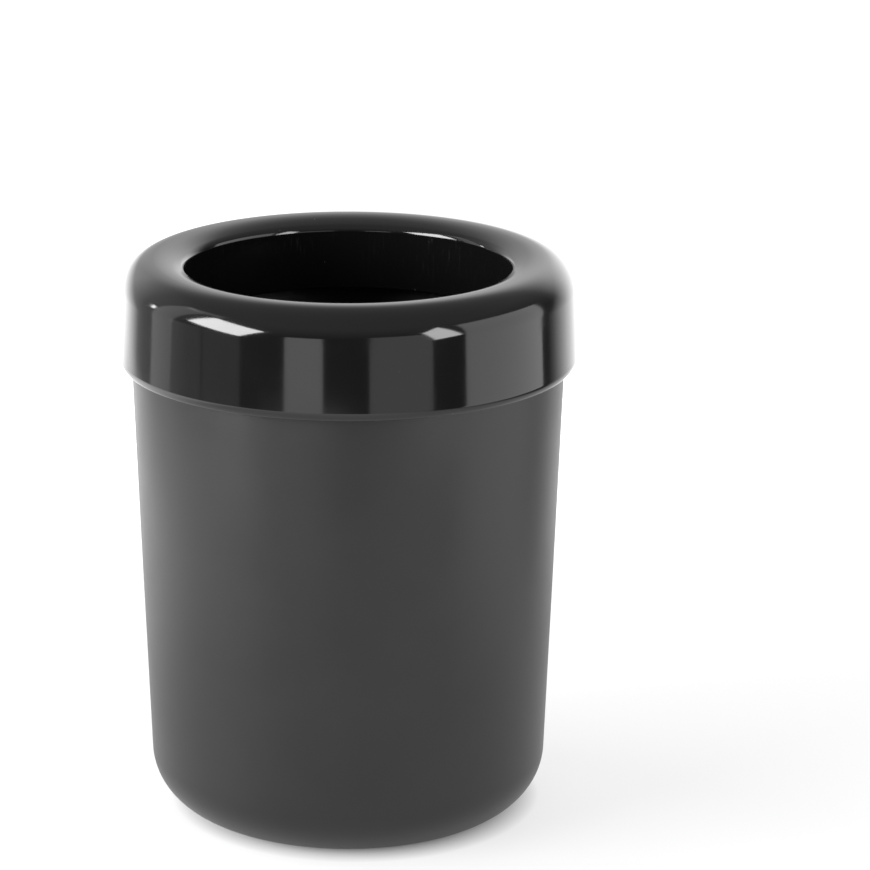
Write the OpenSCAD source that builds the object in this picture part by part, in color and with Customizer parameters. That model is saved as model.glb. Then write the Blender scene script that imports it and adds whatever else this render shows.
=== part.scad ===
// Round table holder: a drafted plastic cup with a loose rim ring that lifts off.
// Millimetres, +Z up. The origin is the centre of the circle that the foot stands on.

/* [Body] */
// Height of the cup from the table to its rim
body_h = 142; // [100:1:200]
// Outer diameter of the cup at its rim
rim_d = 124; // [114:1:160]
// Outer diameter that the drafted wall would have at the table
base_d = 113.5; // [100:0.5:124]
// Thickness of the cup's wall
wall_t = 2.4; // [1.6:0.1:4]
// Thickness of the cup's floor
floor_t = 3; // [2:0.1:6]
// Outer radius of the rounded edge between wall and base
base_edge_r = 16.5; // [8:0.5:26]
// Width of the flat foot ring that touches the table
foot_w = 5; // [3:0.5:10]
// Depth of the recess inside the foot ring
foot_recess = 1.2; // [0.6:0.1:1.6]
// Diameter of the moulding gate mark in the recess
gate_d = 6; // [3:0.5:12]
// Height of the gate mark
gate_h = 0.5; // [0.2:0.1:0.5]

/* [Rim ring] */
// Length of skirt that hangs below the cup's rim
skirt_overlap = 9.8; // [5:0.1:30]
// Lean of the skirt from upright, in degrees
skirt_draft = 2.8; // [0.5:0.1:5]
// Radius of the skirt's rounded lower edge
skirt_edge_r = 4; // [1:0.1:4.5]
// Turn of that round from upright to where the flat lower edge cuts it off, in degrees
skirt_edge_turn = 40; // [20:1:45]
// Thickness of the ring's shell
ring_t = 2.2; // [1.6:0.1:2.8]
// Height of the crown's centre above the cup's rim
crown_rise = 11; // [6:0.5:20]
// Radius of the crown's inner side as a multiple of its outer radius
crown_flatness = 2; // [1.2:0.1:4]
// Clear diameter of the mouth
mouth_d = 92; // [70:1:98]
// Inner radius of the tight roll at the mouth's lip
lip_inner_r = 0.3; // [0.2:0.1:2]
// Length of the straight collar below the lip
collar_h = 17; // [4:0.5:20]
// Gap all round between the cup's rim and the skirt
rim_play = 0.6; // [0.4:0.1:1.5]
// Number of stop webs under the crown
web_count = 8; // [3:1:16]
// Thickness of a stop web
web_t = 1.6; // [1:0.1:3]

/* [Hidden] */
$fn = 128;

// Cuts run this far past the face that they open
cut_past = 1;
// Raised marks reach this far into what carries them
sunk = 0.5;

// Cup: radii, and the lean of its wall from upright
rim_r = rim_d / 2;
base_r = base_d / 2;
wall_lean = atan((rim_r - base_r) / body_h);
cavity_base_r = base_r - wall_t / cos(wall_lean);
cavity_edge_r = base_edge_r - wall_t;

// Ring: heights that follow from the cup's rim
skirt_low_z = body_h - skirt_overlap;
crown_z = body_h + crown_rise;

// Ring: the crown's circle touches the skirt's outer line and the line of the mouth
mouth_r = mouth_d / 2;
crown_r = (skirt_r(crown_z) - mouth_r) * cos(skirt_draft) / (1 + cos(skirt_draft));
crown_centre_r = mouth_r + crown_r;
crown_top_z = crown_z + crown_r;

// Ring: a flatter arc falls from the crown's top to the lip, and a tight roll turns it down into the collar
flat_r = crown_r * crown_flatness;
lip_r = ring_t + lip_inner_r;
lip_centre_r = mouth_r + lip_r;
lip_slope = asin((crown_r - lip_r) / (flat_r - lip_r));
lip_z = crown_top_z - flat_r + (flat_r - lip_r) * cos(lip_slope);
collar_low_z = lip_z - collar_h;

// Radius at height z of a wall that leans out from radius r0 at the table
function cup_r(r0, z) = r0 + z * tan(wall_lean);

// Outer radius of the skirt at height z: it clears the cup's rim and widens downwards
function skirt_r(z) = rim_r + rim_play + ring_t / cos(skirt_draft) - (z - body_h) * tan(skirt_draft);

// Radius of the centre of a cup's rounded lower edge
function edge_centre_r(r0, low_z, edge_r) = cup_r(r0, low_z + edge_r) - edge_r / cos(wall_lean);

// Half section of a cup-shaped solid with a rounded lower edge
module cup_section(r0, low_z, high_z, edge_r) {
    centre_r = edge_centre_r(r0, low_z, edge_r);
    centre_z = low_z + edge_r;
    polygon([
        [0, low_z],
        [centre_r, low_z],
        [centre_r + edge_r * cos(wall_lean), centre_z - edge_r * sin(wall_lean)],
        [cup_r(r0, high_z), high_z],
        [0, high_z]
    ]);
    translate([centre_r, centre_z])
        intersection() {
            circle(r = edge_r);
            translate([0, -edge_r])
                square(edge_r);
        }
}

// Half section of the ring's arch, drawn in by inset from its outside and open downwards
module arch_section(inset, low_z) {
    arch_r = crown_r - inset;
    roll_r = lip_r - inset;
    polygon([
        [mouth_r + inset, low_z],
        [skirt_r(low_z) - inset / cos(skirt_draft), low_z],
        [crown_centre_r + arch_r * cos(skirt_draft), crown_z + arch_r * sin(skirt_draft)],
        [crown_centre_r, crown_z + arch_r],
        [lip_centre_r - roll_r * sin(lip_slope), lip_z + roll_r * cos(lip_slope)],
        [mouth_r + inset, lip_z]
    ]);
    translate([crown_centre_r, crown_z])
        intersection() {
            circle(r = arch_r);
            square(arch_r);
        }
    intersection() {
        translate([crown_centre_r, crown_top_z - flat_r])
            circle(r = flat_r - inset);
        polygon([
            [lip_centre_r, lip_z],
            [crown_centre_r, lip_z],
            [crown_centre_r, crown_top_z + flat_r],
            [lip_centre_r - flat_r * sin(lip_slope), lip_z + flat_r * cos(lip_slope)]
        ]);
    }
    translate([lip_centre_r, lip_z])
        circle(r = roll_r);
}

// Sharp corner that the rounded lower edge of the skirt leaves out
module skirt_edge_waste() {
    centre_z = skirt_low_z + skirt_edge_r * sin(skirt_edge_turn);
    centre_r = skirt_r(centre_z) - skirt_edge_r / cos(skirt_draft);
    waste_high_z = centre_z + skirt_edge_r * sin(skirt_draft);
    difference() {
        translate([centre_r, skirt_low_z - cut_past])
            square([skirt_edge_r + cut_past, waste_high_z - skirt_low_z + cut_past]);
        translate([centre_r, centre_z])
            circle(r = skirt_edge_r);
    }
}

// Half section of the ring's shell
module ring_section() {
    difference() {
        arch_section(0, skirt_low_z);
        arch_section(ring_t, skirt_low_z - cut_past);
        skirt_edge_waste();
        translate([mouth_r - cut_past, skirt_low_z - cut_past])
            square([ring_t + 2 * cut_past, collar_low_z - skirt_low_z + cut_past]);
    }
}

// One flat web across the inside of the arch, with its lower edge on the cup's rim
module stop_web() {
    rotate([90, 0, 0])
        linear_extrude(height = web_t, center = true)
            intersection() {
                arch_section(ring_t / 2, skirt_low_z);
                translate([mouth_r, body_h])
                    square([2 * crown_r, crown_rise + crown_r]);
            }
}

// Satin cup with a recessed underside
module body() {
    recess_r = edge_centre_r(base_r, 0, base_edge_r) - foot_w;
    color([0.16, 0.16, 0.165])
    union() {
        difference() {
            rotate_extrude()
                difference() {
                    cup_section(base_r, 0, body_h, base_edge_r);
                    cup_section(cavity_base_r, floor_t, body_h + cut_past, cavity_edge_r);
                }
            translate([0, 0, -cut_past])
                cylinder(r = recess_r, h = foot_recess + cut_past);
        }
        translate([0, 0, foot_recess - gate_h])
            cylinder(d = gate_d, h = gate_h + sunk);
    }
}

// Gloss ring with its stop webs
module rim_ring() {
    color([0.05, 0.05, 0.055])
    union() {
        rotate_extrude()
            ring_section();
        for (i = [0 : web_count - 1])
            rotate([0, 0, i * 360 / web_count])
                stop_web();
    }
}

body();
rim_ring();
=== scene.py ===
import math

import bmesh
import bpy
from mathutils import Matrix, Vector


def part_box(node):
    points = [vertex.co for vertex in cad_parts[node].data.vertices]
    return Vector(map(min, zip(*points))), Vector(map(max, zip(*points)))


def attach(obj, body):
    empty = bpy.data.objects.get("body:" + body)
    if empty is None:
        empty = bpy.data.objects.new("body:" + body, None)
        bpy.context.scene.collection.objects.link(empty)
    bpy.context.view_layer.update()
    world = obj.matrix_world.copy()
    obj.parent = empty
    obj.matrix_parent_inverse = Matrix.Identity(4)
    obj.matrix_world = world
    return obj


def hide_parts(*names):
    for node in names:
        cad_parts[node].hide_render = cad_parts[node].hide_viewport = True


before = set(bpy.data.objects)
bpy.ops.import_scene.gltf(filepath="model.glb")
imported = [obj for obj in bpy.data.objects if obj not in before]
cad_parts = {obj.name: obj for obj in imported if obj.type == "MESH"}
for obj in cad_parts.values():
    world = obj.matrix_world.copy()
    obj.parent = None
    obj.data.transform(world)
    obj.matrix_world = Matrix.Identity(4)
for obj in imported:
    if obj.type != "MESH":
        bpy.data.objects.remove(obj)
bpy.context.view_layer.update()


# The cup is one injection moulding in black plastic with a fine satin texture. Its wall leans out a
# little so that it leaves the mould, its base edge is well rounded, and it stands on a narrow ring
# round a shallow recess, where the gate was cut off.
CUP_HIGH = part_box("body")[1]
CUP_H = CUP_HIGH.z
RIM_R = min(CUP_HIGH.x, CUP_HIGH.y)
BASE_R = 0.05675
WALL_T = 0.0024
FLOOR_T = 0.0030
BASE_EDGE_R = 0.0165
FOOT_W = 0.0050
FOOT_RECESS = 0.0012
GATE_R = 0.0030
GATE_H = 0.0005
CUP_RIM_ROUND = 0.0006
FOOT_ROUND = 0.0004
GATE_ROUND = 0.00015
TURN_STEPS = 256
ARC_STEPS = 28
ROUND_STEPS = 4
CREASE = math.radians(32)
SAME_PLACE = 1e-6

WALL_LEAN = math.atan2(RIM_R - BASE_R, CUP_H)
CAVITY_R = BASE_R - WALL_T / math.cos(WALL_LEAN)
CAVITY_EDGE_R = BASE_EDGE_R - WALL_T


def straight_to(bm, tip, radius, height):
    """Draws a half section on in a straight line, and returns its new tip."""
    new_tip = bmesh.ops.extrude_vert_indiv(bm, verts=[tip])["verts"][0]
    new_tip.co = (radius, 0, height)
    return new_tip


def arc_about(bm, tip, radius, height, turn, steps=ARC_STEPS):
    """Swings a half section's tip about a centre, upwards on its outer side if turn is positive."""
    swept = bmesh.ops.spin(
        bm, geom=[tip], cent=(radius, 0, height), axis=(0, -1, 0), angle=turn, steps=steps
    )
    return next(g for g in swept["geom_last"] if isinstance(g, bmesh.types.BMVert))


def turn_solid(bm):
    """Turns a half section about the upright axis into a closed solid."""
    section = bm.verts[:] + bm.edges[:]
    bmesh.ops.spin(
        bm, geom=section, cent=(0, 0, 0), axis=(0, 0, 1), angle=math.tau, steps=TURN_STEPS, use_merge=True
    )
    bmesh.ops.remove_doubles(bm, verts=bm.verts, dist=SAME_PLACE)
    bmesh.ops.recalc_face_normals(bm, faces=bm.faces)


def round_circle(bm, radius, height, size):
    """Rounds the edge that runs round the axis at one radius and height."""
    place = Vector((radius, height))
    on_circle = {
        v for v in bm.verts if (Vector((v.co.xy.length, v.co.z)) - place).length < 10 * SAME_PLACE
    }
    edges = [e for e in bm.edges if on_circle.issuperset(e.verts)]
    bmesh.ops.bevel(
        bm, geom=edges, offset=size, offset_type="OFFSET", segments=ROUND_STEPS, profile=0.5,
        affect="EDGES", material=-1,
    )


def make_piece(bm, name):
    """Puts a mesh in the scene, shaded smooth but with its sharp corners kept."""
    for face in bm.faces:
        face.smooth = True
    for edge in bm.edges:
        edge.smooth = edge.calc_face_angle(0) < CREASE
    mesh = bpy.data.meshes.new(name)
    bm.to_mesh(mesh)
    bm.free()
    piece = bpy.data.objects.new(name, mesh)
    bpy.context.scene.collection.objects.link(piece)
    return piece


def edge_centre_r(wall_r, low_z, edge_r):
    """Radius of the centre of a rounded lower edge, where the wall has wall_r at the table."""
    return wall_r + (low_z + edge_r) * math.tan(WALL_LEAN) - edge_r / math.cos(WALL_LEAN)


foot_r = edge_centre_r(BASE_R, 0, BASE_EDGE_R)
recess_r = foot_r - FOOT_W
cavity_centre_r = edge_centre_r(CAVITY_R, FLOOR_T, CAVITY_EDGE_R)
cavity_centre_z = FLOOR_T + CAVITY_EDGE_R
cavity_rim_r = CAVITY_R + CUP_H * math.tan(WALL_LEAN)
edge_turn = math.pi / 2 - WALL_LEAN

cup_bm = bmesh.new()
tip = cup_bm.verts.new((0, 0, FOOT_RECESS - GATE_H))
tip = straight_to(cup_bm, tip, GATE_R, FOOT_RECESS - GATE_H)
tip = straight_to(cup_bm, tip, GATE_R, FOOT_RECESS)
tip = straight_to(cup_bm, tip, recess_r, FOOT_RECESS)
tip = straight_to(cup_bm, tip, recess_r, 0)
tip = straight_to(cup_bm, tip, foot_r, 0)
tip = arc_about(cup_bm, tip, foot_r, BASE_EDGE_R, edge_turn)
tip = straight_to(cup_bm, tip, RIM_R, CUP_H)
tip = straight_to(cup_bm, tip, cavity_rim_r, CUP_H)
tip = straight_to(
    cup_bm, tip,
    cavity_centre_r + CAVITY_EDGE_R * math.cos(WALL_LEAN),
    cavity_centre_z - CAVITY_EDGE_R * math.sin(WALL_LEAN),
)
tip = arc_about(cup_bm, tip, cavity_centre_r, cavity_centre_z, -edge_turn)
straight_to(cup_bm, tip, 0, FLOOR_T)
turn_solid(cup_bm)
round_circle(cup_bm, RIM_R, CUP_H, CUP_RIM_ROUND)
round_circle(cup_bm, cavity_rim_r, CUP_H, CUP_RIM_ROUND)
round_circle(cup_bm, recess_r, 0, FOOT_ROUND)
round_circle(cup_bm, GATE_R, FOOT_RECESS - GATE_H, GATE_ROUND)
cup = make_piece(cup_bm, "cup")


def add_node(tree, kind, inputs=None, **settings):
    """Adds a shader node with its inputs' values and its settings."""
    node = tree.nodes.new(kind)
    for name, value in settings.items():
        setattr(node, name, value)
    for name, value in (inputs or {}).items():
        node.inputs[name].default_value = value
    return node


def noise(tree, place, scale, detail=2.0, rough=0.5):
    """Adds a noise pattern of so many waves per metre, and returns its output."""
    node = add_node(
        tree, "ShaderNodeTexNoise", {"Scale": scale, "Detail": detail, "Roughness": rough}
    )
    tree.links.new(place, node.inputs["Vector"])
    return node.outputs["Fac"]


def spread(tree, value, low, high, to_low, to_high):
    """Maps a value from one range to another, clamped at both ends."""
    node = add_node(
        tree, "ShaderNodeMapRange",
        {"From Min": low, "From Max": high, "To Min": to_low, "To Max": to_high},
    )
    tree.links.new(value, node.inputs["Value"])
    return node.outputs["Result"]


def combine(tree, operation, first, second):
    """Joins two values by a sum, product or the like."""
    node = add_node(tree, "ShaderNodeMath", operation=operation)
    tree.links.new(first, node.inputs[0])
    tree.links.new(second, node.inputs[1])
    return node.outputs["Value"]


def shades(tree, value, stops):
    """Maps a value to shades of grey: stops are pairs of a value and a shade."""
    node = add_node(tree, "ShaderNodeValToRGB")
    ramp = node.color_ramp.elements
    while len(ramp) < len(stops):
        ramp.new(0.5)
    for element, (at, shade) in zip(ramp, stops):
        element.position = at
        element.color = (shade, shade, shade, 1)
    tree.links.new(value, node.inputs["Fac"])
    return node.outputs["Color"]


def bump(tree, height, depth):
    """Turns a pattern into a surface relief that is depth metres deep."""
    node = add_node(tree, "ShaderNodeBump", {"Strength": 1.0, "Distance": depth})
    tree.links.new(height, node.inputs["Height"])
    return node.outputs["Normal"]


# Finish of the cup: patterns in waves per metre, depths and reaches in metres
GRAIN_WAVES = 2600
GRAIN_DEPTH = 0.00002
MOTTLE_WAVES = 34
RUBBED_WAVES = 9
NOISE_SPAN = (0.3, 0.7)
SCUFF_WAVES = 420
SCUFF_SPAN = (0.5, 0.62)
SCUFF_REACH = 0.003
MOTTLE_SHARE = 0.3
SCUFF_SHARE = 0.7
CUP_SHADES = [(0.0, 0.0072), (0.3, 0.0095), (1.0, 0.045)]
CUP_ROUGH = (0.38, 0.42)
MOTTLE_ROUGH = 0.02
CUP_IOR = 1.44


def satin_plastic(name):
    """Black plastic from a finely textured mould, rubbed a little smoother here and there."""
    material = bpy.data.materials.new(name)
    material.use_nodes = True
    tree = material.node_tree
    surface = tree.nodes["Principled BSDF"]
    place = add_node(tree, "ShaderNodeTexCoord").outputs["Object"]
    grain = noise(tree, place, GRAIN_WAVES, detail=2.0, rough=0.6)
    mottle = noise(tree, place, MOTTLE_WAVES, detail=3.0, rough=0.55)
    rubbed = noise(tree, place, RUBBED_WAVES, detail=2.0, rough=0.5)
    height = add_node(tree, "ShaderNodeSeparateXYZ")
    tree.links.new(place, height.inputs["Vector"])
    near_table = spread(tree, height.outputs["Z"], 0, SCUFF_REACH, 1, 0)
    scratches = noise(tree, place, SCUFF_WAVES, detail=4.0, rough=0.7)
    scuffs = combine(tree, "MULTIPLY", near_table, spread(tree, scratches, *SCUFF_SPAN, 0, 1))
    mottle_shade = spread(tree, mottle, *NOISE_SPAN, 0, MOTTLE_SHARE)
    scuff_shade = spread(tree, scuffs, 0, 1, 0, SCUFF_SHARE)
    shade = combine(tree, "ADD", mottle_shade, scuff_shade)
    tree.links.new(shades(tree, shade, CUP_SHADES), surface.inputs["Base Color"])
    rubbed_rough = spread(tree, rubbed, *NOISE_SPAN, *CUP_ROUGH)
    mottle_rough = spread(tree, mottle, *NOISE_SPAN, -MOTTLE_ROUGH, MOTTLE_ROUGH)
    rough = combine(tree, "ADD", rubbed_rough, mottle_rough)
    tree.links.new(rough, surface.inputs["Roughness"])
    tree.links.new(bump(tree, grain, GRAIN_DEPTH), surface.inputs["Normal"])
    surface.inputs["IOR"].default_value = CUP_IOR
    return material


cup.data.materials.append(satin_plastic("cup_plastic_satin"))
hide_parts("body")
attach(cup, "cup")


# The rim ring is a second moulding in gloss black plastic from a polished mould. It is a hollow arch:
# a skirt outside the cup's rim, a rolled crown, and a collar that lines the mouth. Eight thin webs
# under the crown rest on the cup's rim, and nothing but its weight holds the ring there.
SKIRT_LOW_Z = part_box("rim_ring")[0].z
SKIRT_DRAFT = math.radians(2.8)
SKIRT_EDGE_R = 0.0034
SKIRT_EDGE_TURN = math.radians(42)
RING_T = 0.0022
CROWN_RISE = 0.011
CROWN_FLATNESS = 2.0
MOUTH_R = 0.046
LIP_INNER_R = 0.0003
COLLAR_H = 0.017
RIM_PLAY = 0.0006
WEB_COUNT = 8
WEB_T = 0.0016
COLLAR_ROUND = 0.0005
SKIRT_CORNER_ROUND = 0.0002

LIP_STEPS = 12
CROWN_Z = CUP_H + CROWN_RISE


def skirt_r(height):
    """Outer radius of the skirt, which widens downwards and clears the cup's rim all round."""
    return RIM_R + RIM_PLAY + RING_T / math.cos(SKIRT_DRAFT) - (height - CUP_H) * math.tan(SKIRT_DRAFT)


CROWN_R = (skirt_r(CROWN_Z) - MOUTH_R) * math.cos(SKIRT_DRAFT) / (1 + math.cos(SKIRT_DRAFT))
CROWN_CENTRE_R = MOUTH_R + CROWN_R
FLAT_R = CROWN_R * CROWN_FLATNESS
FLAT_Z = CROWN_Z + CROWN_R - FLAT_R
LIP_R = RING_T + LIP_INNER_R
LIP_CENTRE_R = MOUTH_R + LIP_R
LIP_SLOPE = math.asin((CROWN_R - LIP_R) / (FLAT_R - LIP_R))
LIP_Z = FLAT_Z + (FLAT_R - LIP_R) * math.cos(LIP_SLOPE)
COLLAR_LOW_Z = LIP_Z - COLLAR_H


def crown_end(inset):
    """Where the crown's arc, drawn in by inset, meets the skirt."""
    arc_r = CROWN_R - inset
    return CROWN_CENTRE_R + arc_r * math.cos(SKIRT_DRAFT), CROWN_Z + arc_r * math.sin(SKIRT_DRAFT)


def over_the_crown(bm, tip, inwards):
    """Draws the arch between skirt and collar: the crown's round, its flatter inner side and the lip."""
    bends = [
        (CROWN_CENTRE_R, CROWN_Z, math.pi / 2 - SKIRT_DRAFT, ARC_STEPS),
        (CROWN_CENTRE_R, FLAT_Z, LIP_SLOPE, ARC_STEPS),
        (LIP_CENTRE_R, LIP_Z, math.pi / 2 - LIP_SLOPE, LIP_STEPS),
    ]
    for radius, height, turn, steps in bends if inwards else reversed(bends):
        tip = arc_about(bm, tip, radius, height, turn if inwards else -turn, steps)
    return tip


skirt_edge_z = SKIRT_LOW_Z + SKIRT_EDGE_R * math.sin(SKIRT_EDGE_TURN)
skirt_edge_r = skirt_r(skirt_edge_z) - SKIRT_EDGE_R / math.cos(SKIRT_DRAFT)
skirt_corner_r = skirt_edge_r + SKIRT_EDGE_R * math.cos(SKIRT_EDGE_TURN)
skirt_inner_r = skirt_r(SKIRT_LOW_Z) - RING_T / math.cos(SKIRT_DRAFT)

ring_bm = bmesh.new()
tip = ring_bm.verts.new((MOUTH_R, 0, COLLAR_LOW_Z))
tip = straight_to(ring_bm, tip, MOUTH_R, LIP_Z)
tip = over_the_crown(ring_bm, tip, inwards=False)
tip = straight_to(
    ring_bm, tip,
    skirt_edge_r + SKIRT_EDGE_R * math.cos(SKIRT_DRAFT),
    skirt_edge_z + SKIRT_EDGE_R * math.sin(SKIRT_DRAFT),
)
tip = arc_about(ring_bm, tip, skirt_edge_r, skirt_edge_z, -SKIRT_EDGE_TURN - SKIRT_DRAFT)
tip = straight_to(ring_bm, tip, skirt_inner_r, SKIRT_LOW_Z)
tip = straight_to(ring_bm, tip, *crown_end(RING_T))
tip = over_the_crown(ring_bm, tip, inwards=True)
tip = straight_to(ring_bm, tip, MOUTH_R + RING_T, COLLAR_LOW_Z)
straight_to(ring_bm, tip, MOUTH_R, COLLAR_LOW_Z)
turn_solid(ring_bm)
round_circle(ring_bm, MOUTH_R, COLLAR_LOW_Z, COLLAR_ROUND)
round_circle(ring_bm, MOUTH_R + RING_T, COLLAR_LOW_Z, COLLAR_ROUND)
round_circle(ring_bm, skirt_corner_r, SKIRT_LOW_Z, SKIRT_CORNER_ROUND)
round_circle(ring_bm, skirt_inner_r, SKIRT_LOW_Z, SKIRT_CORNER_ROUND)
shell = make_piece(ring_bm, "rim_shell")

sunk = RING_T / 2
web_bm = bmesh.new()
tip = web_bm.verts.new((MOUTH_R + sunk, 0, CUP_H))
tip = straight_to(web_bm, tip, skirt_r(CUP_H) - sunk / math.cos(SKIRT_DRAFT), CUP_H)
tip = straight_to(web_bm, tip, *crown_end(sunk))
tip = over_the_crown(web_bm, tip, inwards=True)
straight_to(web_bm, tip, MOUTH_R + sunk, CUP_H)
bmesh.ops.remove_doubles(web_bm, verts=web_bm.verts, dist=SAME_PLACE)
outline = bmesh.ops.contextual_create(web_bm, geom=web_bm.edges[:])["faces"]
bmesh.ops.translate(web_bm, verts=web_bm.verts, vec=(0, -WEB_T / 2, 0))
pushed = bmesh.ops.extrude_face_region(web_bm, geom=outline)["geom"]
bmesh.ops.translate(
    web_bm, verts=[g for g in pushed if isinstance(g, bmesh.types.BMVert)], vec=(0, WEB_T, 0)
)
bmesh.ops.recalc_face_normals(web_bm, faces=web_bm.faces)
bmesh.ops.spin(
    web_bm, geom=web_bm.verts[:] + web_bm.edges[:] + web_bm.faces[:], cent=(0, 0, 0), axis=(0, 0, 1),
    angle=math.tau * (WEB_COUNT - 1) / WEB_COUNT, steps=WEB_COUNT - 1, use_duplicate=True,
)
webs = make_piece(web_bm, "stop_webs")

fuse = shell.modifiers.new("fuse_webs", "BOOLEAN")
fuse.operation = "UNION"
fuse.solver = "EXACT"
fuse.object = webs
fused = shell.evaluated_get(bpy.context.evaluated_depsgraph_get()).to_mesh()
fused_bm = bmesh.new()
fused_bm.from_mesh(fused)
for built in (shell, webs):
    bpy.data.objects.remove(built)
ring = make_piece(fused_bm, "rim_ring_gloss")


# Finish of the ring: patterns in waves or cells per metre, depths and reaches in metres
RIPPLE_WAVES = 26
RIPPLE_DEPTH = 0.00002
MARK_WAVES = 70
MARK_SPAN = (0.45, 0.75)
DUST_CELLS = 95
DUST_SPECK = (0.012, 0.022)
DUST_ROUGH = 0.5
STREAK_STRETCH = (1, 1, 0.08)
STREAK_WAVES = 1500
STREAK_SPAN = (0.56, 0.68)
STREAK_ROUGH = 0.16
MOUTH_WEAR = (0.0475, 0.0525)
RING_SHADES = [(0.0, 0.0036), (1.0, 0.05)]
RING_ROUGH = (0.085, 0.13)
RING_IOR = 1.49


def gloss_plastic(name):
    """Black plastic from a polished mould: faintly wavy, finger-marked, scuffed at the mouth, dusty."""
    material = bpy.data.materials.new(name)
    material.use_nodes = True
    tree = material.node_tree
    surface = tree.nodes["Principled BSDF"]
    place = add_node(tree, "ShaderNodeTexCoord").outputs["Object"]
    ripple = noise(tree, place, RIPPLE_WAVES, detail=1.0, rough=0.4)
    marks = noise(tree, place, MARK_WAVES, detail=3.0, rough=0.6)
    dust_cells = add_node(tree, "ShaderNodeTexVoronoi", {"Scale": DUST_CELLS})
    tree.links.new(place, dust_cells.inputs["Vector"])
    dust = spread(tree, dust_cells.outputs["Distance"], *DUST_SPECK, 1, 0)
    tree.links.new(shades(tree, dust, RING_SHADES), surface.inputs["Base Color"])
    flat = add_node(tree, "ShaderNodeVectorMath", operation="MULTIPLY")
    flat.inputs[1].default_value = STREAK_STRETCH
    tree.links.new(place, flat.inputs[0])
    reach = add_node(tree, "ShaderNodeVectorMath", operation="LENGTH")
    tree.links.new(flat.outputs["Vector"], reach.inputs[0])
    near_mouth = spread(tree, reach.outputs["Value"], *MOUTH_WEAR, 1, 0)
    streaks = noise(tree, flat.outputs["Vector"], STREAK_WAVES, detail=3.0, rough=0.6)
    streak_rough = spread(tree, streaks, *STREAK_SPAN, 0, STREAK_ROUGH)
    scuffs = combine(tree, "MULTIPLY", near_mouth, streak_rough)
    marks_rough = spread(tree, marks, *MARK_SPAN, *RING_ROUGH)
    rough = combine(tree, "ADD", marks_rough, spread(tree, dust, 0, 1, 0, DUST_ROUGH))
    rough = combine(tree, "ADD", rough, scuffs)
    tree.links.new(rough, surface.inputs["Roughness"])
    tree.links.new(bump(tree, ripple, RIPPLE_DEPTH), surface.inputs["Normal"])
    surface.inputs["IOR"].default_value = RING_IOR
    return material


ring.data.materials.append(gloss_plastic("ring_plastic_gloss"))
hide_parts("rim_ring")
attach(ring, "ring")


# The stage is an oval pale sheet that reaches further to the left than to the right. Its glow is painted
# light: more at the front, at the back and on the left, with a painted contact shadow round the holder.
# Its edge fades out.
FLOOR_MIDDLE = (-0.11, 0, 0)
FLOOR_DEEP = 0.78
FLOOR_WIDE = 0.45
FLOOR_FADE = 0.26
FLOOR_SHADE = 0.25
FLOOR_ROUGH = 0.9
FLOOR_GLOW = 0.70
LEFT_GLOW = 1.9
LEFT_SIDE = (-0.9, 0.45, 0)
LEFT_SPAN = (0.15, 0.3)
BACK_GLOW = 1.0
BACK_SIDE = (0.45, 0.9, 0)
BACK_SPAN = (0.2, 0.4)
FRONT_GLOW = 0.45
FRONT_SPAN = (-0.5, -0.15)
SHADOW_MIDDLE = (0.002, 0, 0)
SHADOW_SPAN = (0.0415, 0.054)

floor_bm = bmesh.new()
bmesh.ops.create_circle(floor_bm, cap_ends=True, radius=1, segments=TURN_STEPS)
bmesh.ops.scale(floor_bm, vec=(FLOOR_WIDE, FLOOR_DEEP, 1), verts=floor_bm.verts)
bmesh.ops.translate(floor_bm, vec=FLOOR_MIDDLE, verts=floor_bm.verts)
floor = make_piece(floor_bm, "floor")
floor_white = bpy.data.materials.new("floor_white")
floor_white.use_nodes = True
sheet = floor_white.node_tree
floor_surface = sheet.nodes["Principled BSDF"]
floor_surface.inputs["Base Color"].default_value = (FLOOR_SHADE, FLOOR_SHADE, FLOOR_SHADE, 1)
floor_surface.inputs["Roughness"].default_value = FLOOR_ROUGH
floor_surface.inputs["Specular IOR Level"].default_value = 0.0
floor_surface.inputs["Emission Color"].default_value = (1, 1, 1, 1)
floor_place = add_node(sheet, "ShaderNodeTexCoord").outputs["Object"]
leftwards = add_node(sheet, "ShaderNodeVectorMath", operation="DOT_PRODUCT")
leftwards.inputs[1].default_value = LEFT_SIDE
sheet.links.new(floor_place, leftwards.inputs[0])
backwards = add_node(sheet, "ShaderNodeVectorMath", operation="DOT_PRODUCT")
backwards.inputs[1].default_value = BACK_SIDE
sheet.links.new(floor_place, backwards.inputs[0])
floor_axes = add_node(sheet, "ShaderNodeSeparateXYZ")
sheet.links.new(floor_place, floor_axes.inputs["Vector"])
from_holder = add_node(sheet, "ShaderNodeVectorMath", operation="DISTANCE")
from_holder.inputs[1].default_value = SHADOW_MIDDLE
sheet.links.new(floor_place, from_holder.inputs[0])
# Painted light: the floor's glow is stronger on the left, at the back and at the front, as if lamps lit
# it there.
floor_glow = spread(sheet, leftwards.outputs["Value"], *LEFT_SPAN, FLOOR_GLOW, LEFT_GLOW)
back_glow = spread(sheet, backwards.outputs["Value"], *BACK_SPAN, 0, BACK_GLOW)
front_glow = spread(sheet, floor_axes.outputs["Y"], *FRONT_SPAN, FRONT_GLOW, 0)
for more in (back_glow, front_glow):
    floor_glow = combine(sheet, "ADD", floor_glow, more)
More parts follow.
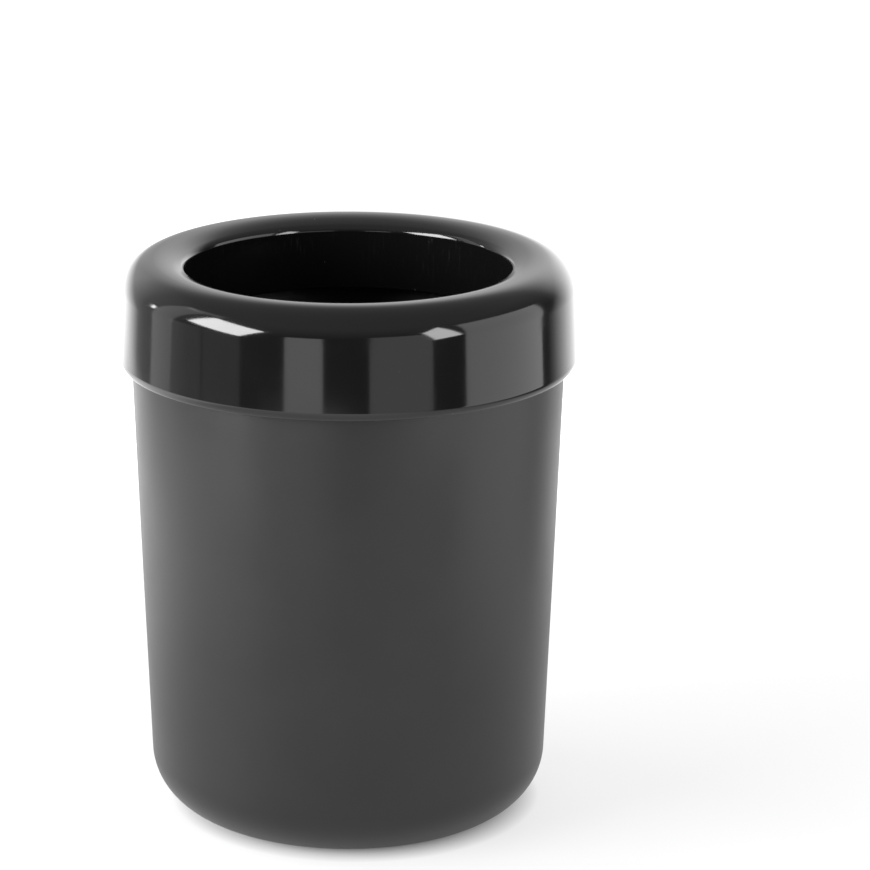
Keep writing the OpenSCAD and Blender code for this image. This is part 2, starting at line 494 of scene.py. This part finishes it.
# Painted contact shadow: the floor's glow falls to nothing round the holder's foot.
painted_contact_shadow = spread(sheet, from_holder.outputs["Value"], *SHADOW_SPAN, 0, 1)
floor_glow = combine(sheet, "MULTIPLY", floor_glow, painted_contact_shadow)
sheet.links.new(floor_glow, floor_surface.inputs["Emission Strength"])
offset = add_node(sheet, "ShaderNodeVectorMath", operation="SUBTRACT")
offset.inputs[1].default_value = FLOOR_MIDDLE
sheet.links.new(floor_place, offset.inputs[0])
share = add_node(sheet, "ShaderNodeVectorMath", operation="DIVIDE")
share.inputs[1].default_value = (FLOOR_WIDE, FLOOR_DEEP, 1)
sheet.links.new(offset.outputs["Vector"], share.inputs[0])
from_middle = add_node(sheet, "ShaderNodeVectorMath", operation="LENGTH")
sheet.links.new(share.outputs["Vector"], from_middle.inputs[0])
fade = spread(sheet, from_middle.outputs["Value"], 1 - FLOOR_FADE, 1.0, 1.0, 0.0)
sheet.links.new(fade, floor_surface.inputs["Alpha"])
floor.data.materials.append(floor_white)


# The studio is a dim grey dome with a white backdrop behind the holder, and soft panels that stand round
# it. Each panel faces the ring unless it is swung; azimuth 0 is the camera's side and grows to the right.
DOME_LOW = 0.10
DOME_HIGH = 0.40
DOME_SPAN = (0.15, 0.65)
BACKDROP = 0.72
BACKDROP_SPAN = (0.55, 0.85)
BACKDROP_TOP = (0.38, 0.72)
BACKDROP_SPILL = 0.1
SEEN_WHITE = 1.05
PANEL_AIM = Vector((0, 0, 0.15))
PANELS = [
    # name, azimuth, elevation, distance, width, height, roll, swing, radiance
    ("key_softbox", -64.0, 15.6, 1.2, 0.75, 0.55, -24, 0, 18.0),
    ("fill_softbox", 44.3, 11, 1.2, 0.51, 0.62, 25, 59, 10.0),
    ("right_wall", 90, 2, 1.05, 1.12, 0.94, 0, -27, 2.0),
    ("front_right_panel", 25.6, -4, 1.2, 0.66, 0.75, 0, 0, 0.97),
    ("front_left_panel", -21.3, -6, 1.2, 0.39, 0.65, 0, 0, 1.9),
    ("left_panel", -101.7, 6.8, 1.2, 0.35, 1.46, -9.7, 0, 0.95),
    ("left_door_front", -64.2, -10, 1.2, 0.45, 0.45, 0, 0, 0.35),
    ("left_door_back", -86.4, -10, 1.2, 0.44, 0.45, 0, 0, 0.40),
    ("left_wall", -88, 38, 1.2, 0.46, 0.10, 6, 0, 0.9),
    ("left_lamp", -112.6, 9, 1.2, 0.06, 0.12, 0, 0, 14.0),
    ("overhead_left", -105, 48, 1.3, 0.80, 0.80, 0, 0, 5.0),
    ("overhead_back", 180, 55, 1.4, 1.00, 0.80, 0, 0, 2.3),
]
# Panels that light the holder but don't show in its gloss
DULL_PANELS = {"overhead_left", "overhead_back"}
GLOWS = [
    # azimuth, elevation, degrees to where it starts to fall and to its end, radiance
    (157, 12, 6, 26, 0.75),
    (152, -12, 8, 32, 1.2),
    (-154, -12, 4, 23, 2.1),
    (-124, 5, 10, 40, 0.45),
]


def outward(azimuth, elevation):
    """Direction from the ring towards an azimuth and elevation."""
    turn, rise = math.radians(azimuth), math.radians(elevation)
    return Vector((math.sin(turn) * math.cos(rise), -math.cos(turn) * math.cos(rise), math.sin(rise)))


def add_panel(name, azimuth, elevation, distance, width, height, roll, swing, radiance):
    """Stands a soft panel of even brightness round the ring, swung from it by so many degrees."""
    panel = bpy.data.lights.new(name, "AREA")
    panel.shape = "RECTANGLE"
    panel.size = width
    panel.size_y = height
    panel.energy = radiance * math.pi * width * height
    stand = bpy.data.objects.new(name, panel)
    away = outward(azimuth, elevation)
    swung = Matrix.Rotation(math.radians(swing), 3, "Y")
    rolled = Matrix.Rotation(math.radians(roll), 3, "Z")
    facing = away.to_track_quat("Z", "Y").to_matrix() @ swung @ rolled
    stand.matrix_world = Matrix.Translation(PANEL_AIM + distance * away) @ facing.to_4x4()
    stand.visible_camera = False
    stand.visible_glossy = name not in DULL_PANELS
    bpy.context.scene.collection.objects.link(stand)


for row in PANELS:
    add_panel(*row)

studio = bpy.data.worlds.new("studio")
studio.use_nodes = True
sky = studio.node_tree
dome = sky.nodes["Background"]
ahead = add_node(sky, "ShaderNodeTexCoord").outputs["Generated"]
direction = add_node(sky, "ShaderNodeSeparateXYZ")
sky.links.new(ahead, direction.inputs["Vector"])
level = spread(sky, direction.outputs["Z"], *DOME_SPAN, DOME_LOW, DOME_HIGH)
behind = spread(sky, direction.outputs["Y"], *BACKDROP_SPAN, 0, BACKDROP)
below_top = spread(sky, direction.outputs["Z"], *BACKDROP_TOP, 1, BACKDROP_SPILL)
level = combine(sky, "ADD", level, combine(sky, "MULTIPLY", behind, below_top))
for azimuth, elevation, near, far, radiance in GLOWS:
    towards = add_node(sky, "ShaderNodeVectorMath", operation="DOT_PRODUCT")
    towards.inputs[1].default_value = outward(azimuth, elevation)
    sky.links.new(ahead, towards.inputs[0])
    glow_end = math.cos(math.radians(far))
    glow_start = math.cos(math.radians(near))
    glow = spread(sky, towards.outputs["Value"], glow_end, glow_start, 0, radiance)
    level = combine(sky, "ADD", level, glow)
sky.links.new(level, dome.inputs["Strength"])
dome.inputs["Color"].default_value = (1, 1, 1, 1)
white = add_node(sky, "ShaderNodeBackground", {"Color": (1, 1, 1, 1), "Strength": SEEN_WHITE})
seen = add_node(sky, "ShaderNodeMixShader")
sky.links.new(add_node(sky, "ShaderNodeLightPath").outputs["Is Camera Ray"], seen.inputs["Fac"])
sky.links.new(dome.outputs["Background"], seen.inputs[1])
sky.links.new(white.outputs["Background"], seen.inputs[2])
sky.links.new(seen.outputs["Shader"], sky.nodes["World Output"].inputs["Surface"])
bpy.context.scene.world = studio


# The camera looks slightly down on the holder from a metre in front, through a long lens that is
# shifted sideways so that the holder stands left of the middle.
CAMERA_PLACE = (0, -1.0, 0.4064)
CAMERA_DOWN = 0.2887
CAMERA_LENS = 150.5
CAMERA_SENSOR = 36
CAMERA_SHIFT = 0.0998

camera_data = bpy.data.cameras.new("camera")
camera_data.lens = CAMERA_LENS
camera_data.sensor_width = CAMERA_SENSOR
camera_data.shift_x = CAMERA_SHIFT
camera = bpy.data.objects.new("camera", camera_data)
camera.location = CAMERA_PLACE
camera.rotation_euler = (math.pi / 2 - CAMERA_DOWN, 0, 0)
bpy.context.scene.collection.objects.link(camera)
bpy.context.scene.camera = camera
bpy.context.scene.view_settings.view_transform = "Standard"
